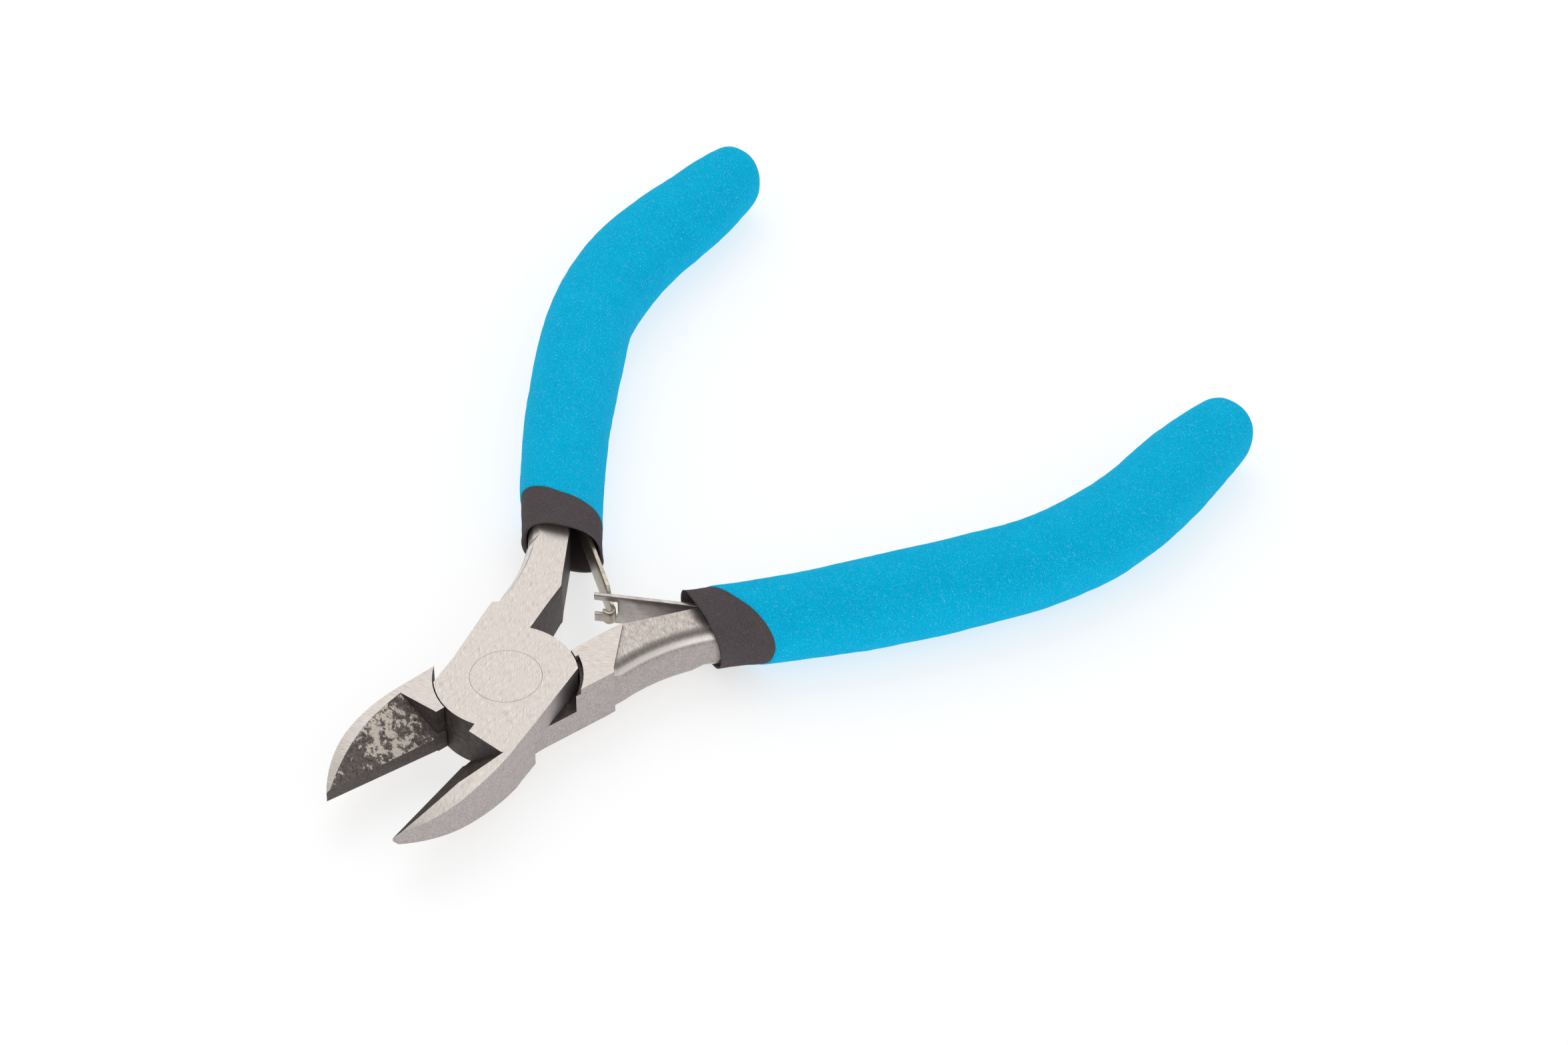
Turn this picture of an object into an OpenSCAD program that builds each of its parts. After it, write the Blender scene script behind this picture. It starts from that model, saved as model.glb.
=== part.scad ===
// Diagonal cutting pliers, 115 mm, with a lap joint, double leaf springs and foam sleeved handles.
// The Y axis is the tool's centre line: handles towards +Y, jaws towards -Y.
// The origin is on the pivot axis, at the joint's ground back face. The tool is drawn half open.
// Each lever is described with the jaws closed, jaw on +X and handle on -X, then mirrored and turned.

/* [Joint] */
// Thickness of the ground joint and of the lever blanks
joint_t = 6; // [5.5:0.1:6.5]
// Radius of the lap lobe around the pivot
lobe_r = 7.8; // [7.6:0.05:7.9]
// Gap between a lobe and the round recess that it turns in
lobe_gap = 0.15; // [0.1:0.01:0.2]
// Gap between the two lap faces
lap_gap = 0.06; // [0.04:0.01:0.1]
// Angle each lever is turned from closed, in the drawn pose
half_open = 11; // [0:0.5:13]
// Diameter of the rivet heads
head_d = 7.8; // [7:0.1:8.4]
// Thickness of each rivet head
head_t = 1.4; // [1:0.1:2]
// Diameter of the rivet shank
shank_d = 5; // [4:0.1:6]
// Radial running clearance around the rivet
running_gap = 0.04; // [0.02:0.01:0.08]

/* [Jaws] */
// Distance from the pivot to the jaw tips
jaw_reach = 24; // [23:0.1:25]
// Distance from the pivot to the heel of the cutting edges
heel_y = 9.7; // [9.4:0.1:10]
// Height of the cutting edge at the heel
heel_z = 0.95; // [0.8:0.05:1.1]
// Upward tilt of the cutting edges towards the tips
edge_tilt = 7.9; // [7:0.1:9]
// Slope of the lower jaw's milled bevel, over its ground band
bevel_slope = 34.4; // [33:0.2:36]
// Lean of the ground band just above the lower jaw's cutting edge
band_lean = 11; // [8:1:14]
// Slope of the upper jaw's bevel, which starts at the cutting edge itself
steep_slope = 49; // [47:0.5:51]
// Slope of the upper jaw's bevel facet at the heel
heel_slope = 42.5; // [41:0.5:44]
// Radius of the jaws' outer curve
jaw_bow_r = 29; // [27:0.5:31]
// Radius of the outer curve near the tips
nose_r = 13.5; // [13:0.1:14]
// Radius of the fall of the jaws' top towards the tips
fall_r = 33.6; // [30:0.2:36]
// Half the width of the closed jaws
jaw_half_w = 6.2; // [6:0.1:6.3]

/* [Handles] */
// Sideways distance from the centre line to the middle of a sleeve's mouth
mouth_x = 6.1; // [6:0.05:6.3]
// Distance from the pivot to the middle of a sleeve's mouth
mouth_y = 23.1; // [22.9:0.05:23.3]
// Outward heading of a handle at the sleeve's mouth
mouth_heading = 31; // [30:0.5:32]
// Radius of the long gentle arc of a handle
long_r = 165; // [150:1:180]
// Angle turned along the gentle arc
long_turn = 12; // [11:0.5:13]
// Radius of the tighter arc of a handle
short_r = 39; // [37:0.5:41]
// Angle turned along the tighter arc
short_turn = 30.5; // [29:0.5:32]
// Radius of the nearly straight last arc of a handle
end_r = 400; // [300:10:600]
// Angle turned along the last arc
end_turn = 2.3; // [2:0.1:2.5]
// Radius of the outer curve of a bare neck
neck_r = 20.8; // [20:0.1:22]
// Heading at which a neck's outer curve runs into its sleeve
neck_heading = 27; // [26:0.5:28]
// Distance of a neck's outer face from the middle of the sleeve's mouth
neck_off = 3.7; // [3.6:0.05:3.8]
// Rounding of the neck's outer corner on its forged side
bar_round = 2.3; // [2:0.05:2.5]
// Rounding of the neck's outer corner on its ground side
ground_round = 2.2; // [2:0.05:2.4]
// How far the joint's grinding goes below the forged skin
skin = 0.4; // [0.3:0.05:0.4]
// Distance of a tang's flat inner face from the middle of its sleeve
tang_flat = 0.95; // [0.9:0.05:1]
// Length of the tang inside its sleeve
tang_run = 52; // [45:1:56]

/* [Sleeves] */
// Outer radius of the inner sleeve
inner_r = 4.4; // [4.35:0.05:4.5]
// Radius of the open bore at the sleeve's mouth
bore_r = 3.95; // [3.8:0.05:4]
// Depth of the open bore
bore_run = 17; // [16:0.5:20]
// Outer radius of the outer sleeve
outer_r = 5; // [4.9:0.05:5.2]
// Length of inner sleeve left bare at the mouth
collar_run = 5.1; // [4.5:0.1:6]
// How far the inner sleeve's mouth reaches out over the neck, on the handle's middle line
mouth_reach = 1; // [0.8:0.1:1.2]
// Slant of the inner sleeve's mouth
mouth_slant = 19; // [15:1:22]
// Slant of the outer sleeve's edge
edge_slant = 32; // [28:1:36]

/* [Leaf springs] */
// Thickness of the spring strip
leaf_t = 0.45; // [0.4:0.01:0.5]
// Height of the spring strip
leaf_h = 4; // [3.8:0.1:4.1]
// Depth inside the mouth of the forked leaf's bend
fork_bend = 1; // [0.8:0.1:1.4]
// Depth inside the mouth of the hooked leaf's bend
hook_bend = 7; // [6.5:0.1:7.5]
// Length of each clamped root
root_run = 7.5; // [7:0.1:8]
// Depth of the open slot in the forked end
slot_depth = 2.6; // [2.4:0.1:2.8]
// Height of the open slot in the forked end
slot_h = 2.1; // [2:0.05:2.2]
// Depth of the groove that clears each leaf where it turns past the inner edge of its handle
groove_depth = 0.25; // [0.15:0.05:0.3]
// Height of the tongue that passes through the slot
tongue_h = 1.6; // [1.4:0.05:1.7]
// Diameter of the small rivets that hold the spring roots
stud_d = 1.6; // [1.4:0.1:1.8]
// Diameter of the small rivets' heads
stud_head_d = 2.8; // [2.6:0.1:3]

/* [Hidden] */
$fn = 96;
eps = 0.01;
snug = 0.994;
mid_z = joint_t / 2;
recess_r = lobe_r + lobe_gap;
// A handle's path is three arcs: their radii, turns, run marks from the mouth, headings and centres
arc_r = [long_r, short_r, end_r];
arc_turn = [long_turn, short_turn, end_turn];
degrees = 180 / PI;
function run_to(i) = i == 0 ? 0 : run_to(i - 1) + arc_r[i - 1] * arc_turn[i - 1] / degrees;
function head_to(i) = i == 0 ? mouth_heading : head_to(i - 1) - arc_turn[i - 1];
function side(a) = [cos(a), -sin(a)];
function ahead(a) = [sin(a), cos(a)];
mouth = [mouth_x, mouth_y];
function arc_centre(i) = i == 0 ? mouth - long_r * side(mouth_heading)
  : arc_centre(i - 1) + (arc_r[i - 1] - arc_r[i]) * side(head_to(i));
nose_s = run_to(3) - outer_r;
// Heading and place of a point on a handle's first arc, run s from the mouth and off to its outer side
function head_at(s) = mouth_heading - s / long_r * degrees;
function place(s, off) = arc_centre(0) + (long_r + off) * side(head_at(s));
function turned(p, a) = [p[0] * cos(a) - p[1] * sin(a), p[0] * sin(a) + p[1] * cos(a)];
leaf_off = -tang_flat - leaf_t / 2 - 0.02;
fork_hinge = turned(place(fork_bend, leaf_off), -half_open);
hook_hinge_right = place(hook_bend, leaf_off);
hook_hinge = turned([-hook_hinge_right[0], hook_hinge_right[1]], half_open);
groove_r = 3;
step_h = 0.7;
step_w = 0.4;
// Free ends of the two leaves in the drawn pose
fork_tip = [-1.5, 16.5];
hook_shoulder = [-0.55, 17.95];
hook_reach = 1.9;

// A profile swept along the right-hand handle, closed, from run a to run b.
// Each arc starts inside the one before, very slightly smaller, so that they join cleanly.
module along_handle(a, b) {
  for (i = [0:2]) {
    from = i == 0 ? a : max(a, run_to(i) - 0.4);
    stop = min(b, run_to(i + 1));
    if (stop > from)
      translate(arc_centre(i)) rotate((from - run_to(i)) / arc_r[i] * degrees - head_to(i))
        rotate_extrude(angle = (stop - from) / arc_r[i] * degrees, $fn = 360)
          translate([arc_r[i], 0]) scale(pow(snug, i)) children();
  }
}

// Section of the forged bar: flat inner side, half round outer side
module bar_section() {
  translate([3.6 - mid_z, 0]) intersection() {
    circle(mid_z);
    translate([0, -mid_z]) square([mid_z, joint_t]);
  }
  translate([-tang_flat, -mid_z]) square([3.6 - mid_z + tang_flat, joint_t]);
}

// A solid rod with a ball end that follows the handle, from run a to the nose
module rod(r, a) {
  turn = (run_to(3) - nose_s) / end_r * degrees;
  translate([0, 0, mid_z]) {
    along_handle(a, nose_s) circle(r);
    translate(arc_centre(2) + end_r * side(head_to(3) + turn)) sphere(r * pow(snug, 3));
  }
}

// Ground plate around the joint: lobe, shoulder towards the neck and root of the jaw
module plate_plan() {
  intersection() {
    circle(lobe_r, $fn = 180);
    translate([-6.45, -9]) square([12.7, 18]);
  }
  polygon([[-7, 8.4], [-7, 9.3], [-6.5, 9.6], [-1.8, 14.75], [-1.6, 13], [-1.35, 7], [-3, 0], [-6.45, 0]]);
  polygon([[6.25, 3], [6.25, -4.8], [6.17, -8.1], [5.9, -9.6], [5.2, -10.1], [0.6, -9], [0.6, -7], [0, 0]]);
}

// A plane cut that removes what lies above it; it passes through p and climbs along +X and towards -Y
module slope_cut(p, slope, climb) {
  translate(p) rotate([-climb, -slope, 0]) translate([-20, -30, 0]) cube([50, 60, 20]);
}

// One jaw, on the +X side, with its cutting edge, its milled bevel and its back relief.
// The lower jaw has a ground band between the edge and the bevel.
module jaw(upper) {
  heel = [0, -heel_y, heel_z];
  difference() {
    intersection() {
      linear_extrude(joint_t) intersection() {
        translate([0.02, -30]) square([8, 22]);
        translate([jaw_half_w - jaw_bow_r, -9]) circle(jaw_bow_r, $fn = 360);
        union() {
          translate([-7.9, nose_r - jaw_reach - 2.77]) circle(nose_r, $fn = 240);
          translate([-1, -17]) square([10, 20]);
        }
      }
      // Side view: the back rises towards the tip and the top falls to meet it
      rotate([90, 0, 90]) translate([0, 0, -1]) linear_extrude(10) intersection() {
        polygon([[-7, 0], [-9, 0], [-jaw_reach - 0.6, 2.5], [-jaw_reach - 0.6, joint_t], [-7, joint_t]]);
        union() {
          translate([-12.5, joint_t - fall_r]) circle(fall_r, $fn = 720);
          translate([-12.5, 0]) square([10, joint_t]);
        }
      }
    }
    translate([-1, -heel_y, -1]) cube([1.35, 4, joint_t + 2]);
    translate(heel) rotate([-edge_tilt, 0, 0]) rotate([0, -42, 0])
      translate([-10, -30, -20]) cube([10, 60, 20]);
    if (upper) {
      slope_cut(heel, steep_slope, 6.2);
      slope_cut(heel, heel_slope, 12.1);
    } else {
      translate(heel) rotate([-edge_tilt, 0, 0]) rotate([0, band_lean, 0])
        translate([-10, -30, 0]) cube([10, 60, 20]);
      slope_cut([0.35, -10, 2.55], bevel_slope, 5.75);
    }
  }
}

// Section of a neck whose outer face is at x = 0, forged side up, as thick as the joint
module blank_section() {
  translate([bar_round, -mid_z]) square([10, joint_t]);
  translate([0, ground_round - mid_z]) square([bar_round + 1, joint_t - ground_round - bar_round]);
  translate([bar_round, mid_z - bar_round]) circle(bar_round);
  translate([ground_round, ground_round - mid_z]) circle(ground_round);
  translate([ground_round, -mid_z]) square([bar_round, 1]);
}

// Bare neck between the joint and the sleeve, on the +X side. One face is ground with the joint;
// the other is forged skin, a little lower. Its end is slimmed to fit the sleeve's bore.
module neck(flat_up) {
  heading = ahead(mouth_heading);
  centre = mouth + (neck_off + neck_r) * side(neck_heading);
  inner = mouth - tang_flat * side(mouth_heading);
  intersection() {
    translate([0, 0, mid_z + (flat_up ? skin : -skin)]) translate(centre) rotate(174 - neck_heading)
      rotate_extrude(angle = neck_heading + 16, $fn = 360) translate([neck_r, 0])
        mirror([0, flat_up ? 1 : 0]) blank_section();
    linear_extrude(joint_t)
      polygon([[1.5, 9], [1.6, 15], [2.3, 16.5], inner, inner + 1.9 * heading,
        inner + 1.9 * heading + 8 * side(mouth_heading), [12, 9]]);
    translate([mouth_x, mouth_y, mid_z]) rotate([-90, 0, -mouth_heading]) {
      translate([0, 0, -19]) cylinder(r1 = bore_r + 6.5, r2 = bore_r - 0.07, h = 18);
      translate([0, 0, -1.1]) cylinder(r = bore_r - 0.08, h = 5);
    }
  }
}

// One lever, closed, jaw on +X and handle on -X
module lever(upper, stud_s) {
  difference() {
    union() {
      linear_extrude(joint_t) plate_plan();
      jaw(upper);
      mirror([1, 0, 0]) {
        neck(upper);
        translate([0, 0, mid_z]) along_handle(0, tang_run) scale(snug) bar_section();
      }
    }
    translate([0, 0, upper ? -1 : mid_z - lap_gap / 2])
      cylinder(r = recess_r, h = mid_z + 1 + lap_gap / 2, $fn = 180);
    // Shallow step around the recess, on the handle side only
    intersection() {
      translate([0, 0, upper ? -1 : joint_t - step_h])
        cylinder(r = recess_r + step_w, h = step_h + 1, $fn = 180);
      translate([-9, 1, -2]) cube([6.5, 9, joint_t + 4]);
    }
    translate([0, 0, -1]) cylinder(d = shank_d + (upper ? 0 : 2 * running_gap), h = joint_t + 2);
    translate([0, 0, upper ? joint_t - head_t - eps : -1])
      cylinder(d = head_d + 2 * running_gap, h = head_t + 1 + eps);
    mirror([1, 0, 0]) {
      stud_bore(stud_s, stud_d, 2.2);
      translate([0, 0, -1]) translate(place(0, groove_depth - tang_flat - groove_r))
        cylinder(r = groove_r, h = joint_t + 2);
    }
  }
}

// Round bore square to a handle's flat inner face, at run s
module stud_bore(s, d, depth) {
  translate([0, 0, mid_z]) translate(place(s, -tang_flat - 1)) rotate(-head_at(s))
    rotate([0, 90, 0]) cylinder(d = d, h = depth + 1, $fn = 48);
}

// Removes the start of a sleeve up to a slanted plane that crosses the handle's middle line at run s
module slant_cut(s, slant) {
  translate([0, 0, -5]) translate(place(s, 0)) rotate(slant - head_at(s)) translate([-15, -20, 0])
    cube([30, 20, joint_t + 10]);
}

module inner_sleeve() {
  difference() {
    rod(inner_r, -4);
    translate([0, 0, mid_z]) {
      along_handle(-5, bore_run) circle(bore_r);
      along_handle(bore_run - eps, tang_run) bar_section();
      // Groove that the leaf presses into the soft lip
      along_handle(-5, 1) translate([-4.12, -leaf_h / 2 - 0.2]) square([3, leaf_h + 0.4]);
    }
    slant_cut(-mouth_reach, mouth_slant);
  }
}

module outer_sleeve() {
  difference() {
    rod(outer_r, 0.5);
    rod(inner_r, -0.5);
    slant_cut(collar_run - mouth_reach, edge_slant);
  }
}

// Clamped root of a leaf, on the right-hand handle, from run a
module spring_root(a) {
  difference() {
    translate([0, 0, mid_z]) along_handle(a, a + root_run)
      translate([leaf_off - leaf_t / 2, -leaf_h / 2]) square([leaf_t, leaf_h]);
    translate([0, 0, -1]) translate(place(a, leaf_off))
      cylinder(d = leaf_t + 0.06, h = joint_t + 2, $fn = 32);
    stud_bore(a + 4, stud_d, 2);
  }
}

// Small rivet through a root, on the right-hand handle, at run s
module spring_stud(s) {
  translate([0, 0, mid_z]) translate(place(s, -tang_flat)) rotate(-head_at(s)) rotate([0, 90, 0]) {
    translate([0, 0, -leaf_t - 0.04]) cylinder(d = stud_d, h = leaf_t + 0.04 + 2.1, $fn = 48);
    translate([0, 0, -leaf_t - 0.54]) cylinder(d = stud_head_d, h = 0.5, $fn = 48);
  }
}

// A strip from its hinge at the origin along +X, with a round end on the hinge axis
module leaf_strip(length) {
  cylinder(d = leaf_t, h = leaf_h, $fn = 32);
  translate([0, -leaf_t / 2, 0]) cube([length, leaf_t, leaf_h]);
}

module at_hinge(hinge, target) {
  translate([hinge[0], hinge[1], mid_z - leaf_h / 2])
    rotate(atan2(target[1] - hinge[1], target[0] - hinge[0])) children();
}

module upper_lever() { color("gainsboro") rotate(half_open) lever(true, hook_bend + 4); }

module lower_lever() { color("silver") rotate(-half_open) mirror([1, 0, 0]) lever(false, fork_bend + 4); }

module pivot_rivet() {
  color("lightgray") {
    cylinder(d = head_d, h = head_t);
    cylinder(d = shank_d, h = joint_t);
    translate([0, 0, joint_t - head_t]) cylinder(d = head_d, h = head_t);
  }
}

module left_inner_sleeve() { color("dimgray") rotate(half_open) mirror([1, 0, 0]) inner_sleeve(); }

module left_outer_sleeve() { color("deepskyblue") rotate(half_open) mirror([1, 0, 0]) outer_sleeve(); }

module right_inner_sleeve() { color("dimgray") rotate(-half_open) inner_sleeve(); }

module right_outer_sleeve() { color("deepskyblue") rotate(-half_open) outer_sleeve(); }

module left_spring_root() { color("darkgray") rotate(half_open) mirror([1, 0, 0]) spring_root(hook_bend); }

module left_spring_stud() { color("gray") rotate(half_open) mirror([1, 0, 0]) spring_stud(hook_bend + 4); }

module right_spring_root() { color("darkgray") rotate(-half_open) spring_root(fork_bend); }

module right_spring_stud() { color("gray") rotate(-half_open) spring_stud(fork_bend + 4); }

// Leaf with a narrow tongue that passes through the other leaf's slot and curls into a small hook
module left_spring_leaf() {
  full = norm(hook_shoulder - hook_hinge);
  low = (leaf_h - tongue_h) / 2;
  curl_r = 0.6;
  color("darkgray") at_hinge(hook_hinge, hook_shoulder) {
    leaf_strip(full);
    translate([full - eps, -leaf_t / 2, low]) cube([hook_reach + eps, leaf_t, tongue_h]);
    translate([full + hook_reach, leaf_t / 2 - curl_r, low]) rotate(-150)
      rotate_extrude(angle = 240) translate([curl_r - leaf_t, 0]) square([leaf_t, tongue_h]);
  }
}

// Leaf with an open slot in its free end
module right_spring_leaf() {
  full = norm(fork_tip - fork_hinge);
  color("darkgray") at_hinge(fork_hinge, fork_tip) difference() {
    leaf_strip(full);
    translate([full - slot_depth, -1, (leaf_h - slot_h) / 2 + 0.15]) cube([slot_depth + 1, 2, slot_h]);
  }
}

upper_lever();
lower_lever();
pivot_rivet();
left_inner_sleeve();
left_outer_sleeve();
right_inner_sleeve();
right_outer_sleeve();
left_spring_root();
left_spring_leaf();
left_spring_stud();
right_spring_root();
right_spring_leaf();
right_spring_stud();
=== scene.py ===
import math

import bmesh
import bpy
from mathutils import Matrix, Vector, noise


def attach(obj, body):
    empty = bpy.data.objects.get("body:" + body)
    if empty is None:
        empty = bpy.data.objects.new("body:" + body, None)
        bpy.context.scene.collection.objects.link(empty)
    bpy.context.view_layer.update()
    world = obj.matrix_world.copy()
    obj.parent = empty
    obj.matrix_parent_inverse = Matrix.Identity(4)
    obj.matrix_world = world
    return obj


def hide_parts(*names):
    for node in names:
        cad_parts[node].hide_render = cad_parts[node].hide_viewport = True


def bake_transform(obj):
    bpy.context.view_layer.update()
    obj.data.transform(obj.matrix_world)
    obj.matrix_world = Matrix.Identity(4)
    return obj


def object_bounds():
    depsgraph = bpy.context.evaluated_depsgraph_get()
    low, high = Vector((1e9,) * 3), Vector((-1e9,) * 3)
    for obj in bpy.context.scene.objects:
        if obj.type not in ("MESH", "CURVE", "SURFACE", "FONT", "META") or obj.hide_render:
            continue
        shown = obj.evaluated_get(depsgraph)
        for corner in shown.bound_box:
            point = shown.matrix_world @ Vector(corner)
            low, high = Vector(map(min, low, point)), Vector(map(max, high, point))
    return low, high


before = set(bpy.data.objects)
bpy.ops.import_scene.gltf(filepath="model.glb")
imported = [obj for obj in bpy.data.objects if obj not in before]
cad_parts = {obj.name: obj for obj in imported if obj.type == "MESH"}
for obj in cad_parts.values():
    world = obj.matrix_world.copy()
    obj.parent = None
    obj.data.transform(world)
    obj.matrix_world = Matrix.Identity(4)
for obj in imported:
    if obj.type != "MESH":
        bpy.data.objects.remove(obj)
CAD_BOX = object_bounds()

# Lengths in this script are in millimetres until a mesh is made, when they are turned into metres.
# The stage, the lights and the camera are in metres throughout.
MM = 0.001
MID_Z = 3.0
HALF_OPEN = math.radians(11)

# A handle's path, closed and on the right: where its sleeve starts, its heading there, then three arcs
MOUTH = Vector((6.1, 23.1))
MOUTH_HEADING = math.radians(31)
ARCS = ((165.0, math.radians(12)), (39.0, math.radians(30.5)), (400.0, math.radians(2.3)))
PATH_END = sum(radius * turn for radius, turn in ARCS)

# Where a sleeve's slanted edge lies along the handle: its mean run, then how far it moves on the outward
# side, on top and underneath. Each sleeve was pushed on by hand, so left and right differ.
LIP = {"left": (-1.18, 1.58, 0.52, 2.2), "right": (-0.81, 1.52, -0.43, 0.0)}
EDGE = {"left": (5.06, 2.52, -0.50, 0.0), "right": (3.01, 3.53, 0.28, 0.0)}

# Leaf springs: thickness, lowest and highest edge, and how far they lie inside the handle's middle line
LEAF_T = 0.45
LEAF_Z = (1.0, 5.0)
TANG_FLAT = 0.95
LEAF_OFF = -TANG_FLAT - LEAF_T / 2 - 0.02
ROOT_LENGTH = 7.5

# Where each leaf bends away from its handle, as a run from the mouth, and where its free end goes
FORK_BEND = 1.0
HOOK_BEND = 7.0
FORK_TIP = Vector((-1.5, 16.5))
HOOK_SHOULDER = Vector((-0.55, 17.95))
SLOT_DEPTH = 2.6
SLOT_Z = (2.1, 4.2)
HOOK_HALF, SHOULDER_HALF, TONGUE_HALF = 2.0, 1.55, 0.8
CURL_R = 0.5
CURL_STEP = math.radians(19)


# ---------------------------------------------------------------- small helpers

def smooth(x, lo, hi):
    """0 below lo, 1 above hi, an S curve between."""
    t = min(max((x - lo) / (hi - lo), 0.0), 1.0)
    return t * t * (3 - 2 * t)


def through(stations, x):
    """A soft curve through a few (x, value) stations."""
    if x <= stations[0][0]:
        return stations[0][1]
    for (a, va), (b, vb) in zip(stations, stations[1:]):
        if x <= b:
            return va + (vb - va) * smooth(x, a, b)
    return stations[-1][1]


def turned(p, angle):
    """The plan view of a point or a direction, turned about the pivot."""
    c, s = math.cos(angle), math.sin(angle)
    return Vector((p[0] * c - p[1] * s, p[0] * s + p[1] * c))


def handle_at(run):
    """Middle and outward side of the right-hand handle at rest, run mm from the mouth."""
    point, heading, left = MOUTH.copy(), MOUTH_HEADING, run
    for i, (radius, turn) in enumerate(ARCS):
        step = left if i == len(ARCS) - 1 else min(left, radius * turn)
        side = Vector((math.cos(heading), -math.sin(heading)))
        centre = point - radius * side
        heading -= step / radius
        side = Vector((math.cos(heading), -math.sin(heading)))
        point = centre + radius * side
        left -= step
        if left <= 0:
            break
    return turned(point, -HALF_OPEN), turned(side, -HALF_OPEN)


def piece(name, bm, body, materials, hides=(), mirror=False):
    """Turns a bmesh in millimetres into a smooth shaded piece that rides on a body."""
    scale = Matrix.Diagonal((-MM if mirror else MM, MM, MM, 1))
    bmesh.ops.transform(bm, matrix=scale, verts=bm.verts)
    if mirror:
        bmesh.ops.reverse_faces(bm, faces=bm.faces)
    mesh = bpy.data.meshes.new(name)
    bm.to_mesh(mesh)
    bm.free()
    for face in mesh.polygons:
        face.use_smooth = True
    for material in materials:
        mesh.materials.append(material)
    made = bpy.data.objects.new(name, mesh)
    bpy.context.scene.collection.objects.link(made)
    if body:
        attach(made, body)
    if hides:
        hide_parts(*hides)
    return made


def rings_to_faces(bm, rings, close_start=False, close_end=False):
    """Quads between neighbouring rings of vertices."""
    for lower, upper in zip(rings, rings[1:]):
        count = len(lower)
        for i in range(count):
            j = (i + 1) % count
            bm.faces.new((lower[i], lower[j], upper[j], upper[i]))
    if close_start:
        bm.faces.new(list(reversed(rings[0])))
    if close_end:
        bm.faces.new(rings[-1])


def sharp_edges(bm, degrees):
    """The edges that bend by more than an angle."""
    return [e for e in bm.edges if len(e.link_faces) == 2 and e.calc_face_angle() > math.radians(degrees)]


# ---------------------------------------------------------------- materials

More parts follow.
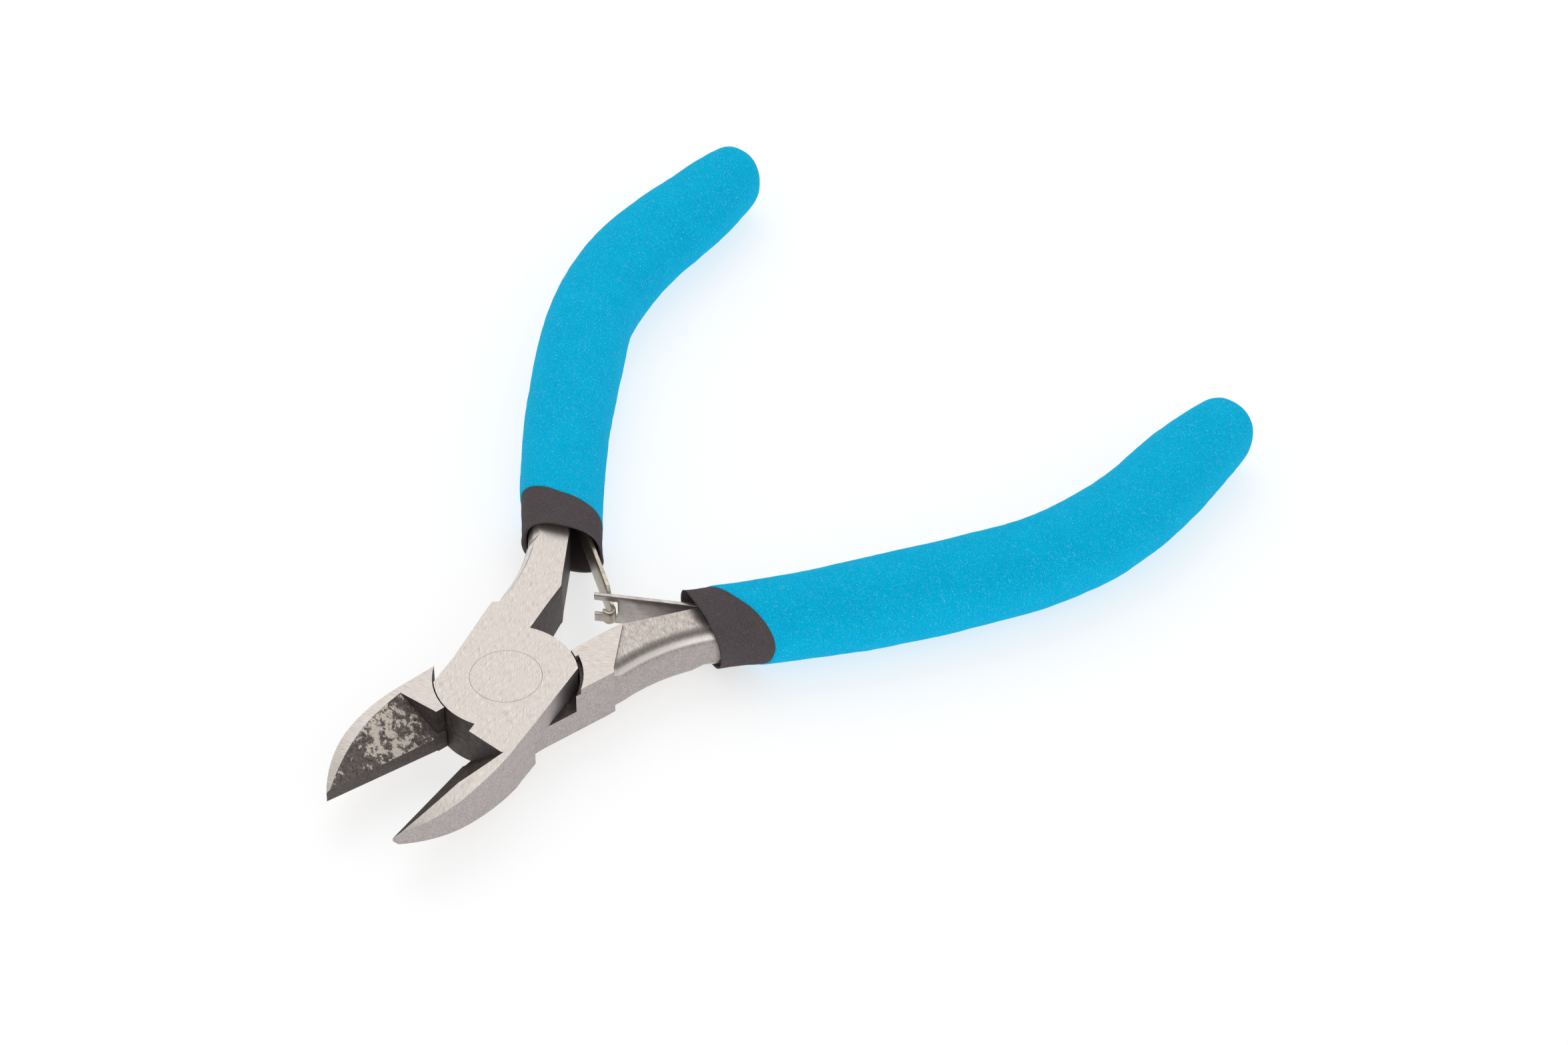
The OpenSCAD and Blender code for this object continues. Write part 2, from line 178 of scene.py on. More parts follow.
class Finish:
    """One Principled material and the few node patterns that the finishes share."""

    def __init__(self, name, metallic=0.0, roughness=0.5, specular=0.5):
        self.material = bpy.data.materials.new(name)
        self.material.use_nodes = True
        self.tree = self.material.node_tree
        self.shader = self.tree.nodes["Principled BSDF"]
        self.shader.inputs["Metallic"].default_value = metallic
        self.shader.inputs["Roughness"].default_value = roughness
        self.shader.inputs["Specular IOR Level"].default_value = specular
        where = self.tree.nodes.new("ShaderNodeTexCoord")
        self.coords, self.normals = where.outputs["Object"], where.outputs["Normal"]

    def link(self, source, target):
        self.tree.links.new(source, target)

    def put(self, value, socket):
        """Feeds a socket from another socket, or with a constant colour or number."""
        if isinstance(value, bpy.types.NodeSocket):
            self.link(value, socket)
        elif isinstance(value, tuple):
            socket.default_value = (*value, 1)
        else:
            socket.default_value = value

    def mapped(self, size, angle=0.0):
        """Object coordinates turned about Z and divided by a cell size in millimetres along each axis."""
        turn = self.tree.nodes.new("ShaderNodeMapping")
        turn.inputs["Rotation"].default_value = (0, 0, -angle)
        self.link(self.coords, turn.inputs["Vector"])
        grow = self.tree.nodes.new("ShaderNodeMapping")
        grow.inputs["Scale"].default_value = [1 / (MM * s) for s in size]
        self.link(turn.outputs["Vector"], grow.inputs["Vector"])
        return grow.outputs["Vector"]

    def noise(self, size, detail=3.0, rough=0.55, angle=0.0, warp=0.0):
        """Noise in cells of one size, or of a size along each axis."""
        cells = size if isinstance(size, tuple) else (size, size, size)
        node = self.tree.nodes.new("ShaderNodeTexNoise")
        node.inputs["Scale"].default_value = 1.0
        node.inputs["Detail"].default_value = detail
        node.inputs["Roughness"].default_value = rough
        node.inputs["Distortion"].default_value = warp
        self.link(self.mapped(cells, angle), node.inputs["Vector"])
        return node.outputs["Fac"]

    def spots(self, size):
        """Distance to the nearest of some scattered points, in cells."""
        node = self.tree.nodes.new("ShaderNodeTexVoronoi")
        node.inputs["Scale"].default_value = 1.0
        self.link(self.mapped((size, size, size)), node.inputs["Vector"])
        return node.outputs["Distance"]

    def ramp(self, source, *stops):
        """Maps a value through (place, value) stops."""
        node = self.tree.nodes.new("ShaderNodeValToRGB")
        elements = node.color_ramp.elements
        while len(elements) < len(stops):
            elements.new(0.5)
        for element, (place, value) in zip(elements, stops):
            element.position = place
            element.color = (value, value, value, 1)
        self.link(source, node.inputs["Fac"])
        return node.outputs["Color"]

    def mix(self, a, b, factor):
        """Colour a where the factor is 0, colour b where it is 1."""
        node = self.tree.nodes.new("ShaderNodeMix")
        node.data_type = "RGBA"
        self.put(factor, node.inputs["Factor"])
        for socket in node.inputs:
            if socket.type == "RGBA":
                self.put(a if socket.name == "A" else b, socket)
        return [s for s in node.outputs if s.type == "RGBA"][0]

    def math(self, operation, a, b=0.0):
        node = self.tree.nodes.new("ShaderNodeMath")
        node.operation = operation
        self.put(a, node.inputs[0])
        self.put(b, node.inputs[1])
        return node.outputs[0]

    def along(self, axis):
        """One object coordinate, in millimetres."""
        node = self.tree.nodes.new("ShaderNodeSeparateXYZ")
        self.link(self.mapped((1, 1, 1)), node.inputs[0])
        return node.outputs[axis]

    def upward(self):
        """How far the surface faces up or down: 0 for a wall, 1 for a level face."""
        node = self.tree.nodes.new("ShaderNodeSeparateXYZ")
        self.link(self.normals, node.inputs[0])
        return self.math("ABSOLUTE", node.outputs[2])

    def bump(self, height, distance, strength):
        """Raises the surface by up to distance mm where height is 1."""
        node = self.tree.nodes.new("ShaderNodeBump")
        node.inputs["Strength"].default_value = strength
        node.inputs["Distance"].default_value = distance * MM
        self.link(height, node.inputs["Height"])
        self.link(node.outputs["Normal"], self.shader.inputs["Normal"])

    def rough(self, source):
        self.link(source, self.shader.inputs["Roughness"])

    def colour(self, source):
        """Sets the colour, the last step of every finish, and gives the finished material."""
        self.link(source, self.shader.inputs["Base Color"])
        return self.material


def ground_steel(name, streak_angle):
    """Flat ground by hand on a fine belt: short fine streaks, mostly one way, over soft tone patches."""
    f = Finish(name, metallic=0.85, roughness=0.42)
    fine = f.noise((1.0, 0.055, 0.3), detail=3, angle=streak_angle)
    cross = f.noise((0.7, 0.05, 0.3), detail=3, angle=streak_angle + math.radians(38))
    patches = f.noise(2.2, detail=3)
    lines = f.mix(fine, cross, f.ramp(patches, (0.45, 0.15), (0.7, 0.75)))
    tone = f.mix((0.38, 0.343, 0.315), (0.69, 0.635, 0.59), f.ramp(lines, (0.3, 0.0), (0.62, 1.0)))
    tone = f.mix(tone, (0.60, 0.55, 0.51), f.ramp(patches, (0.4, 0.0), (0.75, 0.4)))
    f.rough(f.ramp(lines, (0.3, 0.5), (0.7, 0.36)))
    f.bump(lines, 0.012, 0.5)
    return f.colour(tone)


def side_steel():
    """Tumbled forged flank: soft mottling, fine grit, a few pits."""
    f = Finish("flank_steel", metallic=0.8, roughness=0.48)
    grit = f.noise((0.10, 0.10, 0.28), detail=4, rough=0.7)
    mottle = f.noise(0.9, detail=4, rough=0.6)
    tone = f.mix((0.33, 0.292, 0.287), (0.58, 0.527, 0.522), f.ramp(grit, (0.3, 0.0), (0.68, 1.0)))
    tone = f.mix(tone, (0.37, 0.329, 0.322), f.ramp(mottle, (0.45, 0.0), (0.75, 0.6)))
    pits = f.ramp(f.noise(0.35, detail=2), (0.70, 0.0), (0.78, 0.6))
    tone = f.mix(tone, (0.20, 0.165, 0.15), pits)
    f.rough(f.ramp(grit, (0.3, 0.58), (0.7, 0.4)))
    f.bump(f.mix(grit, mottle, 0.35), 0.03, 0.5)
    return f.colour(tone)


def neck_steel():
    """Polished forged neck: fine cross scratches under a lengthwise painted highlight and a painted dark
    reflection band.
    """
    f = Finish("neck_steel", metallic=0.85, roughness=0.34)
    grit = f.noise((0.5, 0.07, 0.3), detail=4, rough=0.65, angle=math.radians(-35))
    mottle = f.noise(0.7, detail=4, rough=0.6)
    tone = f.mix((0.25, 0.22, 0.20), (0.58, 0.53, 0.485), f.ramp(grit, (0.32, 0.0), (0.66, 1.0)))
    tone = f.mix(tone, (0.30, 0.265, 0.24), f.ramp(mottle, (0.5, 0.0), (0.78, 0.5)))
    # The neck was polished lengthwise; a painted highlight lies low on the rounding with a painted dark
    # reflection band above it, both set by how far the face turns up
    painted_highlight = f.ramp(f.upward(), (0.50, 0.0), (0.62, 0.75), (0.74, 0.55), (0.82, 0.0))
    tone = f.mix(tone, (0.95, 0.91, 0.87), painted_highlight)
    painted_dark_reflection = f.ramp(f.upward(), (0.79, 0.0), (0.87, 0.6), (0.95, 0.4), (0.992, 0.0))
    tone = f.mix(tone, (0.13, 0.112, 0.102), painted_dark_reflection)
    f.rough(f.ramp(mottle, (0.3, 0.28), (0.7, 0.45)))
    f.bump(f.mix(grit, mottle, 0.4), 0.02, 0.5)
    return f.colour(tone)


def oxide_and_shade():
    """Dark heat scale in the milled recesses, with brown bloom and pale scuffs. On the lobe's round walls
    the same dark finish is painted shade of the gap between the levers.
    """
    f = Finish("dark_oxide_and_painted_shade", metallic=0.35, roughness=0.55)
    bloom = f.noise(0.8, detail=4, rough=0.6)
    scuff = f.noise((0.5, 0.05, 0.4), detail=3, angle=math.radians(60))
    tone = f.mix((0.040, 0.033, 0.035), (0.085, 0.062, 0.058), f.ramp(bloom, (0.35, 0.0), (0.68, 1.0)))
    tone = f.mix(tone, (0.20, 0.175, 0.165), f.ramp(scuff, (0.56, 0.0), (0.72, 0.7)))
    brown = f.ramp(f.noise(0.45, detail=5, rough=0.7), (0.56, 0.0), (0.66, 0.7))
    tone = f.mix(tone, (0.14, 0.105, 0.090), brown)
    f.bump(f.mix(bloom, scuff, 0.5), 0.02, 0.6)
    return f.colour(tone)


def patched_scale():
    """The lower jaw's milled bevel: dark scale with rust specks, rubbed pale in patches near the heel."""
    f = Finish("jaw_scale", metallic=0.1, roughness=0.6, specular=0.3)
    base = f.noise(0.35, detail=6, rough=0.7)
    tone = f.mix((0.055, 0.043, 0.038), (0.20, 0.17, 0.155), f.ramp(base, (0.34, 0.0), (0.66, 1.0)))
    patches = f.noise(0.95, detail=7, rough=0.72, warp=0.3)
    # Most of the patches lie around y = -13.2 mm
    away = f.math("ABSOLUTE", f.math("ADD", f.along("Y"), 13.2))
    near_heel = f.ramp(f.math("MULTIPLY", away, 0.1), (0.15, 0.13), (0.48, 0.0))
    rubbed = f.ramp(f.math("ADD", patches, near_heel), (0.59, 0.0), (0.64, 1.0))
    tone = f.mix(tone, (0.66, 0.58, 0.51), rubbed)
    rust = f.ramp(f.noise(0.26, detail=4), (0.60, 0.0), (0.68, 0.9))
    tone = f.mix(tone, (0.085, 0.043, 0.022), rust)
    f.bump(f.mix(base, patches, 0.6), 0.05, 0.7)
    return f.colour(tone)


def plain_bevel():
    """The upper jaw's bevel: an even dark scale with fine drawn lines."""
    f = Finish("bevel_scale", roughness=0.75, specular=0.12)
    base = f.noise(0.6, detail=5, rough=0.6)
    lines = f.noise((0.5, 0.06, 0.3), detail=3)
    tone = f.mix((0.030, 0.024, 0.022), (0.075, 0.060, 0.055), f.ramp(base, (0.35, 0.0), (0.65, 1.0)))
    tone = f.mix(tone, (0.14, 0.12, 0.11), f.ramp(lines, (0.55, 0.0), (0.75, 0.5)))
    f.bump(f.mix(base, lines, 0.5), 0.03, 0.6)
    return f.colour(tone)


def blade_steel():
    """The narrow ground band behind each cutting edge, dark and drawn lengthwise."""
    f = Finish("blade_steel", metallic=0.3, roughness=0.5)
    lines = f.noise((0.06, 1.6, 0.10), detail=3)
    tone = f.mix((0.055, 0.045, 0.042), (0.15, 0.130, 0.122), f.ramp(lines, (0.3, 0.0), (0.7, 1.0)))
    f.bump(lines, 0.012, 0.5)
    return f.colour(tone)


def spring_steel(name, low, high):
    """Satin strip, rolled lengthwise."""
    f = Finish(name, metallic=0.9, roughness=0.36)
    lines = f.noise((2.0, 0.4, 0.05), detail=3)
    cloud = f.noise(1.1, detail=3)
    tone = f.mix(low, high, f.ramp(f.mix(lines, cloud, 0.45), (0.35, 0.0), (0.65, 1.0)))
    f.bump(lines, 0.008, 0.4)
    return f.colour(tone)


def foam(name, base, deep, rim, speck, speck_share):
    """Fine closed-cell foam: soft pores, small pale specks of dust, a little lint, a dry matt skin."""
    f = Finish(name, roughness=0.9, specular=0.06)
    pores = f.noise(0.16, detail=4, rough=0.75)
    cells = f.spots(0.22)
    cloud = f.noise(3.5, detail=3)
    tone = f.mix(deep, base, f.ramp(pores, (0.30, 0.0), (0.56, 1.0)))
    tone = f.mix(tone, rim, f.ramp(cloud, (0.45, 0.0), (0.8, 0.35)))
    dust = f.ramp(f.noise(0.12, detail=2, rough=0.8), (speck_share, 0.0), (speck_share + 0.05, 0.8))
    tone = f.mix(tone, speck, dust)
    threads = f.ramp(f.noise((0.9, 0.035, 0.9), detail=1, warp=1.6), (0.69, 0.0), (0.74, 0.7))
    places = f.ramp(f.noise(0.8, detail=1), (0.55, 0.0), (0.62, 1.0))
    tone = f.mix(tone, speck, f.math("MULTIPLY", threads, places))
    f.bump(f.mix(pores, cells, 0.4), 0.07, 0.55)
    return f.colour(tone)


def floor_paint():
    """Plain pale studio floor that glows a little, so that it stays even."""
    f = Finish("floor_paint", roughness=0.9, specular=0.0)
    f.shader.inputs["Emission Color"].default_value = (1, 1, 1, 1)
    f.shader.inputs["Emission Strength"].default_value = 0.62
    cloud = f.noise(400.0, detail=2)
    return f.colour(f.mix((0.46, 0.46, 0.46), (0.48, 0.48, 0.48), cloud))


GROUND_UPPER = ground_steel("ground_steel_upper", math.radians(-62))
GROUND_LOWER = ground_steel("ground_steel_lower", math.radians(20))
FLANK = side_steel()
NECK = neck_steel()
OXIDE_AND_SHADE = oxide_and_shade()
SCALE = patched_scale()
PLAIN_BEVEL = plain_bevel()
BLADE = blade_steel()
STRIP = spring_steel("spring_strip", (0.34, 0.305, 0.285), (0.60, 0.555, 0.525))
STRIP_WARM = spring_steel("spring_strip_hook", (0.34, 0.295, 0.235), (0.60, 0.545, 0.455))
BLUE = foam("blue_foam", base=(0.0006, 0.51, 0.82), deep=(0.0005, 0.33, 0.60),
            rim=(0.0012, 0.56, 0.88), speck=(0.60, 0.88, 0.96), speck_share=0.655)
BLACK = foam("black_foam", base=(0.100, 0.084, 0.088), deep=(0.055, 0.046, 0.049),
             rim=(0.125, 0.108, 0.113), speck=(0.30, 0.28, 0.29), speck_share=0.66)


# ---------------------------------------------------------------- levers

EDGE_ROUND = 0.07
# Flat faces: how level they are, how deep the milled recess and how high the joint's ground plane lie
# from the mid plane, and how far the recess reaches from the pivot
LEVEL_FACE = 0.97
RECESS_DEPTH = 2.45
GROUND_HEIGHT = 2.8
RECESS_REACH = 9.0
# The lobe's round wall lies between these distances from the pivot
LOBE_WALL = (7.7, 8.6)
# Along the tool: where the jaws' bevels start, the span of the walls between jaw and joint, where the
# crotch's walls start, and where the necks start
BEVEL_Y = -9.6
JAW_ROOT_Y = (-10.6, -6.5)
CROTCH_Y = 7.0
NECK_Y = 9.0


def lever_finish(place, facing, rise, height, ground, bevel):
    """The finish of one face of a lever. place and facing are its plan position and direction in the closed
    tool, as if on the right; rise is its normal's z and height its distance from the mid plane."""
    radius = place.length
    if abs(rise) > LEVEL_FACE:
        if height < RECESS_DEPTH and radius < RECESS_REACH:
            return OXIDE_AND_SHADE
        return ground if height > GROUND_HEIGHT or place.y < 0 else NECK
    if place.y < BEVEL_Y and place.x > 0.3 and rise > 0.5 and facing.x < -0.3:
        return bevel
    if place.y < -10 and rise > 0.8 and abs(facing.x) < 0.3:
        return ground
    if place.y < BEVEL_Y and facing.x < -0.6:
        return BLADE
    radial = abs(facing.dot(place)) > 0.9 * radius
    # The lobe's round walls get the dark finish as painted shade, for the gap between the lobe and the other
    # lever's neck
    painted_shade_lobe_wall = LOBE_WALL[0] < radius < LOBE_WALL[1] and radial and abs(rise) < 0.1
    jaw_root = JAW_ROOT_Y[0] < place.y < JAW_ROOT_Y[1] and (facing.y < -0.4 or facing.x < -0.4)
    crotch = place.y > CROTCH_Y and facing.x > 0.3 and abs(rise) < 0.3
    if painted_shade_lobe_wall or jaw_root or crotch:
        return OXIDE_AND_SHADE
    return NECK if place.y > NECK_Y and abs(rise) > 0.35 else FLANK


def lever(name, node, body, upper):
    """The CAD forging with broken edges, and each face given the finish that its place calls for."""
    bm = bmesh.new()
    bm.from_mesh(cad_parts[node].data)
    bmesh.ops.transform(bm, matrix=Matrix.Diagonal((1 / MM, 1 / MM, 1 / MM, 1)), verts=bm.verts)
    bmesh.ops.remove_doubles(bm, verts=bm.verts, dist=0.002)
    bmesh.ops.dissolve_limit(bm, angle_limit=math.radians(0.4), verts=bm.verts, edges=bm.edges)
    bm.normal_update()
    ground = GROUND_UPPER if upper else GROUND_LOWER
    bevel = PLAIN_BEVEL if upper else SCALE
    finishes = [ground, FLANK, NECK, OXIDE_AND_SHADE, bevel, BLADE]
    turn = -HALF_OPEN if upper else HALF_OPEN
    for face in bm.faces:
        centre, normal = face.calc_center_median(), face.normal
        place, facing = turned(centre, turn), turned(normal, turn)
        if not upper:
            place.x, facing.x = -place.x, -facing.x
        found = lever_finish(place, facing, normal.z, abs(centre.z - MID_Z), ground, bevel)
        face.material_index = finishes.index(found)
    bmesh.ops.bevel(bm, geom=sharp_edges(bm, 28), offset=EDGE_ROUND, offset_type="OFFSET", segments=2,
                    profile=0.6, affect="EDGES", clamp_overlap=True, material=-1)
    made = piece(name, bm, body, finishes, hides=[node])
    weighted = made.modifiers.new("flat_faces", "WEIGHTED_NORMAL")
    weighted.keep_sharp = True


# ---------------------------------------------------------------- sleeves

RING_POINTS = 80

# The blue sleeve's half widths outwards and inwards and its half height, as (run, mm) stations, and the
# soft swellings of its inward side on both sides of the crease, as (start, end, height)
GRIP_OUTER = ((2, 4.55), (12, 4.75), (22, 4.95), (60, 5.0))
GRIP_INNER = ((2, 4.55), (12, 4.75), (22, 4.9), (60, 4.85))
GRIP_HALF_Z = ((3, 4.25), (9, 4.5), (18, 4.86), (43, 4.86), (56, 4.2), (62, 4.15), (67, 4.3))
GRIP_SWELLINGS = ((20, 39.5, 0.2), (39.5, 66, 0.5))
NOSE_START = 57
GRIP_RIM = 0.32
GRIP_RINGS = 170
# The rim's slant dies out over this length
GRIP_FADE = 18

# The black sleeve's half widths and half height, inside and outside, and the radius of its rolled lip
COLLAR_BORE = (3.9, 3.9, 3.7)
COLLAR_SKIN = (4.4, 4.4, 4.05)
LIP_R = 0.26


def ring(bm, run, slant, sizes, squareness=2.25, lump=None):
    """One ring of a sleeve, softly squared. sizes(run) gives its half widths outwards and inwards and its
    half height; slant says how far it moves along the handle on its outward side, on top and underneath."""
    verts = []
    for i in range(RING_POINTS):
        angle = 2 * math.pi * i / RING_POINTS
        c, s = math.cos(angle), math.sin(angle)
        here = run + slant[0] * c + slant[1] * s + slant[2] * max(0.0, -s)
        outer, inner, half_z = sizes(here)
        middle, side = handle_at(here)
        reach = (abs(c) ** squareness + abs(s) ** squareness) ** (-1 / squareness)
        across = reach * c * (outer if c > 0 else inner)
        up = reach * s * half_z
        spot = Vector((*(middle + side * across), MID_Z + up))
        if lump:
            away = Vector((*(side * across), up)).normalized()
            spot += away * lump(spot)
        verts.append(bm.verts.new(spot))
    return verts


def foam_lump(spot):
    """Slight unevenness of hand-fitted foam, mm."""
    return 0.05 * noise.noise(spot / 1.6) + 0.10 * noise.noise(spot / 6.0) + 0.02 * noise.noise(spot / 0.6)


def grip_sizes(run):
    """Half widths outwards and inwards, and half height, of the blue sleeve. It closes in a squared nose."""
    outer = through(GRIP_OUTER, run)
    inner = through(GRIP_INNER, run)
    for start, end, height in GRIP_SWELLINGS:
        if start < run < end:
            inner += height * math.sin(math.pi * (run - start) / (end - start))
    outer -= 0.35 * smooth(run, 52, 64)
    half_z = through(GRIP_HALF_Z, run)
    t = min(max(0.0, (run - NOSE_START) / (PATH_END - NOSE_START)), 1.0)
    close = max(0.0, 1 - t ** 20) ** 0.5
    return (outer * (1 - 0.24 * t * t) * close,
            inner * (1 - 0.42 * t ** 3) * close,
            half_z * (1 - 0.12 * t * t) * close)


def sleeve(name, bm, rings, body, node, which, material, slot, **close):
    """Closes the rings into a padded sleeve that stands in for its CAD node."""
    rings_to_faces(bm, rings, **close)
    bmesh.ops.recalc_face_normals(bm, faces=bm.faces)
    made = piece(name, bm, body, [material], hides=[node], mirror=which == "left")


def grip(name, body, node, which):
    """Blue foam sleeve: a rounded rim at its slanted edge, a soft crease inside the bend, a squared nose."""
    bm = bmesh.new()
    mean, *slant = EDGE[which]
    rings = []
    for step in range(7):
        angle = math.radians(30 * step - 90)
        tuck = 0.75 * GRIP_RIM * (math.sin(angle) - 1)
        rings.append(ring(bm, mean + GRIP_RIM * 0.8 * (1 - math.cos(angle)), slant,
                          lambda run: [size + tuck for size in grip_sizes(run)],
                          lump=foam_lump if step > 4 else None))
    first = mean + GRIP_RIM
    for step in range(1, GRIP_RINGS + 1):
        run = first + (PATH_END - 0.01 - first) * (1 - (1 - step / GRIP_RINGS) ** 1.7)
        fade = 1 - smooth(run, mean, mean + GRIP_FADE)
        rings.append(ring(bm, run, [part * fade for part in slant], grip_sizes, lump=foam_lump))
    sleeve(name, bm, rings, body, node, which, BLUE, "outer_foam", close_end=True)


def collar(name, body, node, which):
    """Black inner sleeve: rolled slanted lip, thin wall and an open bore around the tang."""
    bm = bmesh.new()
    mean, *slant = LIP[which]
    # From deep in the bore to the lip, over it, and back along the skin: run, and 0 for bore or 1 for skin
    profile = [(run, 0.0) for run in (15.0, 12.0, 9.0, 6.0, 4.0, 2.5, 1.4, 0.8)]
    for step in range(7):
        angle = math.radians(30 * step - 90)
        profile.append((LIP_R * (1 - math.cos(angle)), 0.5 + 0.5 * math.sin(angle)))
    profile += [(0.5 + 0.35 * step, 1.0) for step in range(30)]
    rings = []
    for run, share in profile:
        fade = 1 - 0.8 * smooth(run, 3, 14)
        flare = 0.10 * math.exp(-run / 0.8) * share
        swell = 0.12 * smooth(run, 1, 6) * share
        sizes = [b + (k - b) * share + flare + swell for b, k in zip(COLLAR_BORE, COLLAR_SKIN)]
        # Near the mouth the tang presses the bore square, and the leaf comes out on its inward side
        pressed = math.exp(-run / 1.5) * (1 - share)
        sizes[1] += 0.2 * pressed
        rings.append(ring(bm, mean + run, [part * fade for part in slant], lambda _: sizes,
                          squareness=2.3 + 0.8 * pressed, lump=foam_lump if share > 0.9 else None))
    sleeve(name, bm, rings, body, node, which, BLACK, "inner_foam", close_start=True)


# ---------------------------------------------------------------- leaf springs

def strip(path, low, high, slot_from=None):
    """A strip bent along path; low and high give its lower and upper edge at each point. From point
    slot_from on it is slotted through its middle."""
    bm = bmesh.new()
    rows = []
    for i, p in enumerate(path):
        span = high(i) - low(i)
        between = (low(i) + span * 0.34, low(i) + span * 0.68) if slot_from is None else SLOT_Z
        rows.append([bm.verts.new((p[0], p[1], z)) for z in (low(i), *between, high(i))])
    for i, (a, b) in enumerate(zip(rows, rows[1:])):
        for k in range(3):
            if slot_from is None or k != 1 or i < slot_from:
                bm.faces.new((a[k], b[k], b[k + 1], a[k + 1]))
    bmesh.ops.recalc_face_normals(bm, faces=bm.faces)
    bmesh.ops.solidify(bm, geom=bm.faces[:], thickness=LEAF_T)
    bmesh.ops.recalc_face_normals(bm, faces=bm.faces)
    centre_on_path(bm, path)
    bmesh.ops.bevel(bm, geom=sharp_edges(bm, 50), offset=0.06, segments=2, profile=0.5, affect="EDGES",
                    clamp_overlap=True)
    return bm


def centre_on_path(bm, path):
    """Solidify grows the strip to one side only, so every vertex moves back half the thickness."""
    grown = {}
    for v in bm.verts:
        off_path = min((Vector((v.co.x, v.co.y)) - p).length for p in path)
        grown[v] = off_path > LEAF_T * 0.4
    moves = {}
    for v in bm.verts:
        others = (w for w in bm.verts if grown[w] != grown[v] and abs(w.co.z - v.co.z) < 0.05)
        partner = min(others, key=lambda w: (w.co - v.co).length)
        thickness = v.co - partner.co if grown[v] else partner.co - v.co
        moves[v] = thickness * 0.5
    for v, move in moves.items():
        v.co -= Vector((move.x, move.y, 0))


def leaf_line(bend, target, mirror):
    """The clamped root's points from deep inside the sleeve to the bend, the bend itself, and the vector
    from it to target."""
    points = []
    for i in range(13):
        middle, side = handle_at(bend + ROOT_LENGTH * (1 - i / 12))
        points.append(middle + side * LEAF_OFF)
        if mirror:
            points[-1].x *= -1
    return points, points[-1], target - points[-1]


def spring(name, bm, material, nodes):
    """A spring in one piece that rides on no body and stands in for its CAD nodes."""
    made = piece(name, bm, None, [material])
    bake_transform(made)
    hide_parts(*nodes)


def fork_spring():
    """The right spring: a flat leaf with an open slot in its end."""
    path, hinge, along = leaf_line(FORK_BEND, FORK_TIP, mirror=False)
    ahead = along.normalized()
    slot_start = along.length - SLOT_DEPTH
    free = (0.6, 2, 4, 6, 8, slot_start, slot_start + 0.9, slot_start + 1.8, along.length)
    path += [hinge + ahead * d for d in free]
    bm = strip(path, lambda i: LEAF_Z[0], lambda i: LEAF_Z[1], slot_from=len(path) - 4)
    spring("fork_spring", bm, STRIP,
           ["right_spring_root", "right_spring_leaf"])


def hook_spring():
    """The left spring: a leaf that narrows at its shoulder to a tongue with a small curl at its end."""
    path, hinge, along = leaf_line(HOOK_BEND, HOOK_SHOULDER, mirror=True)
    ahead = along.normalized()
    left = Vector((-ahead.y, ahead.x))
    free = (0.6, 2, 4, 6, 8, 10, 12, 14, along.length - 0.7, along.length - 0.35)
    path += [hinge + ahead * d for d in free]
    shoulder = len(path) - 1
    path += [HOOK_SHOULDER + ahead * d for d in (0.0, 0.6, 1.2, 1.7)]
    centre = HOOK_SHOULDER + ahead * 1.75 - left * CURL_R
    for k in range(1, 12):
        turn = k * CURL_STEP
        path.append(centre + ahead * math.sin(turn) * CURL_R + left * math.cos(turn) * CURL_R)

    def half(i):
        if i < shoulder:
            return HOOK_HALF
        return SHOULDER_HALF if i == shoulder else TONGUE_HALF

    bm = strip(path, lambda i: MID_Z - half(i), lambda i: MID_Z + half(i))
    spring("hook_spring", bm, STRIP_WARM,
           ["left_spring_root", "left_spring_leaf"])


# ---------------------------------------------------------------- the object

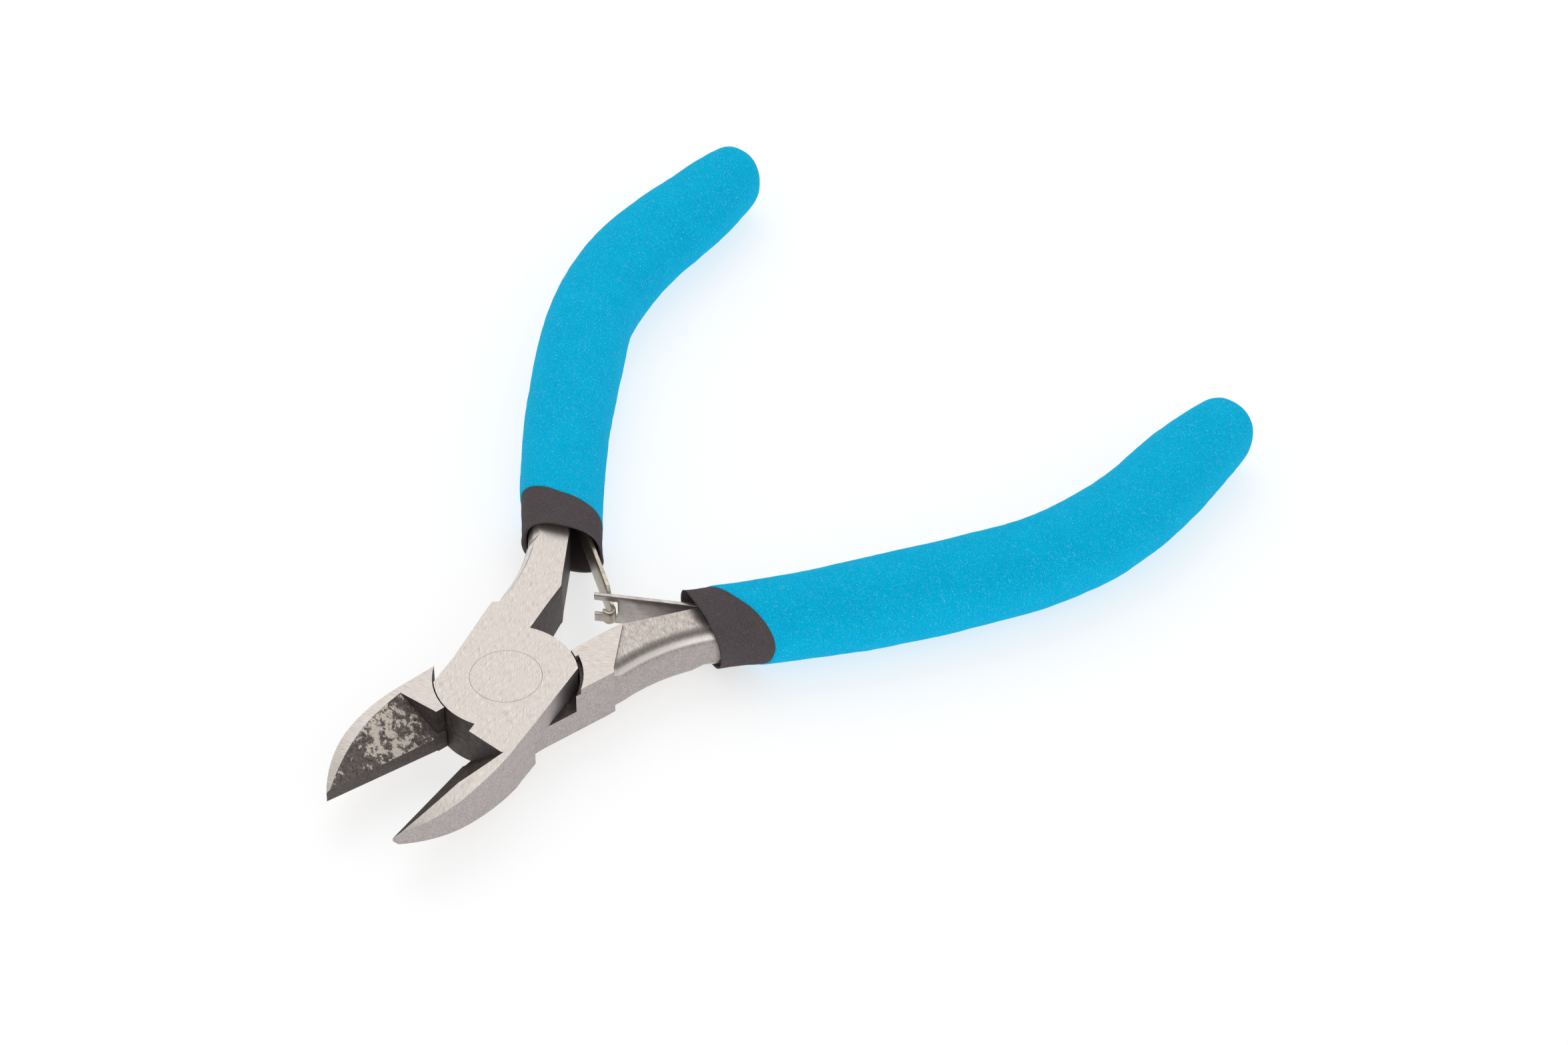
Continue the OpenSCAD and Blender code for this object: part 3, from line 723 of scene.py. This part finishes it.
lever("upper_forging", "upper_lever", "upper_half", True)
lever("lower_forging", "lower_lever", "lower_half", False)
collar("left_collar", "upper_half", "left_inner_sleeve", "left")
collar("right_collar", "lower_half", "right_inner_sleeve", "right")
grip("left_grip", "upper_half", "left_outer_sleeve", "left")
grip("right_grip", "lower_half", "right_outer_sleeve", "right")
fork_spring()
hook_spring()
SMALL_PARTS = {"pivot_rivet": GROUND_UPPER, "left_spring_stud": STRIP, "right_spring_stud": STRIP}
for node, finish in SMALL_PARTS.items():
    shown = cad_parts[node]
    shown.data.materials.clear()
    shown.data.materials.append(finish)


# ---------------------------------------------------------------- stage, light and camera

FLOOR_HALF = 3.0
TOOL_MIDDLE = Vector((0, 0.03, 0))
EYE = Vector((0.2881, -0.3130, 0.4298))
EYE_TARGET = Vector((0.00438, 0.04237, 0.0))


def stage():
    """A plain floor under the tool."""
    bm = bmesh.new()
    bmesh.ops.create_grid(bm, x_segments=2, y_segments=2, size=FLOOR_HALF)
    bmesh.ops.translate(bm, vec=(0, 0, CAD_BOX[0].z), verts=bm.verts)
    mesh = bpy.data.meshes.new("floor")
    bm.to_mesh(mesh)
    bm.free()
    mesh.materials.append(floor_paint())
    floor = bpy.data.objects.new("floor", mesh)
    bpy.context.scene.collection.objects.link(floor)


def aim(thing, place, target):
    """Puts a lamp or a camera at place, facing target, and into the scene."""
    thing.location = place
    thing.rotation_euler = (target - Vector(place)).to_track_quat("-Z", "Y").to_euler()
    bpy.context.scene.collection.objects.link(thing)


def softbox(name, place, size, power):
    data = bpy.data.lights.new(name, "AREA")
    data.shape = "RECTANGLE"
    data.size, data.size_y = size
    data.energy = power
    aim(bpy.data.objects.new(name, data), place, TOOL_MIDDLE)


def light():
    """Even white surroundings, a large key light from above and a weaker one from the other side."""
    world = bpy.data.worlds.new("studio")
    world.use_nodes = True
    world.node_tree.nodes["Background"].inputs["Color"].default_value = (1, 1, 1, 1)
    world.node_tree.nodes["Background"].inputs["Strength"].default_value = 0.68
    bpy.context.scene.world = world
    softbox("key", (-0.35, 0.40, 0.65), (0.7, 0.7), 1.5)
    softbox("fill", (0.5, -0.35, 0.40), (0.6, 0.4), 0.5)
    bpy.context.scene.view_settings.view_transform = "Standard"


def camera():
    data = bpy.data.cameras.new("camera")
    data.lens, data.sensor_width = 128.2, 36.0
    data.clip_start, data.clip_end = 0.01, 20
    eye = bpy.data.objects.new("camera", data)
    aim(eye, EYE, EYE_TARGET)
    bpy.context.scene.camera = eye


stage()
light()
camera()
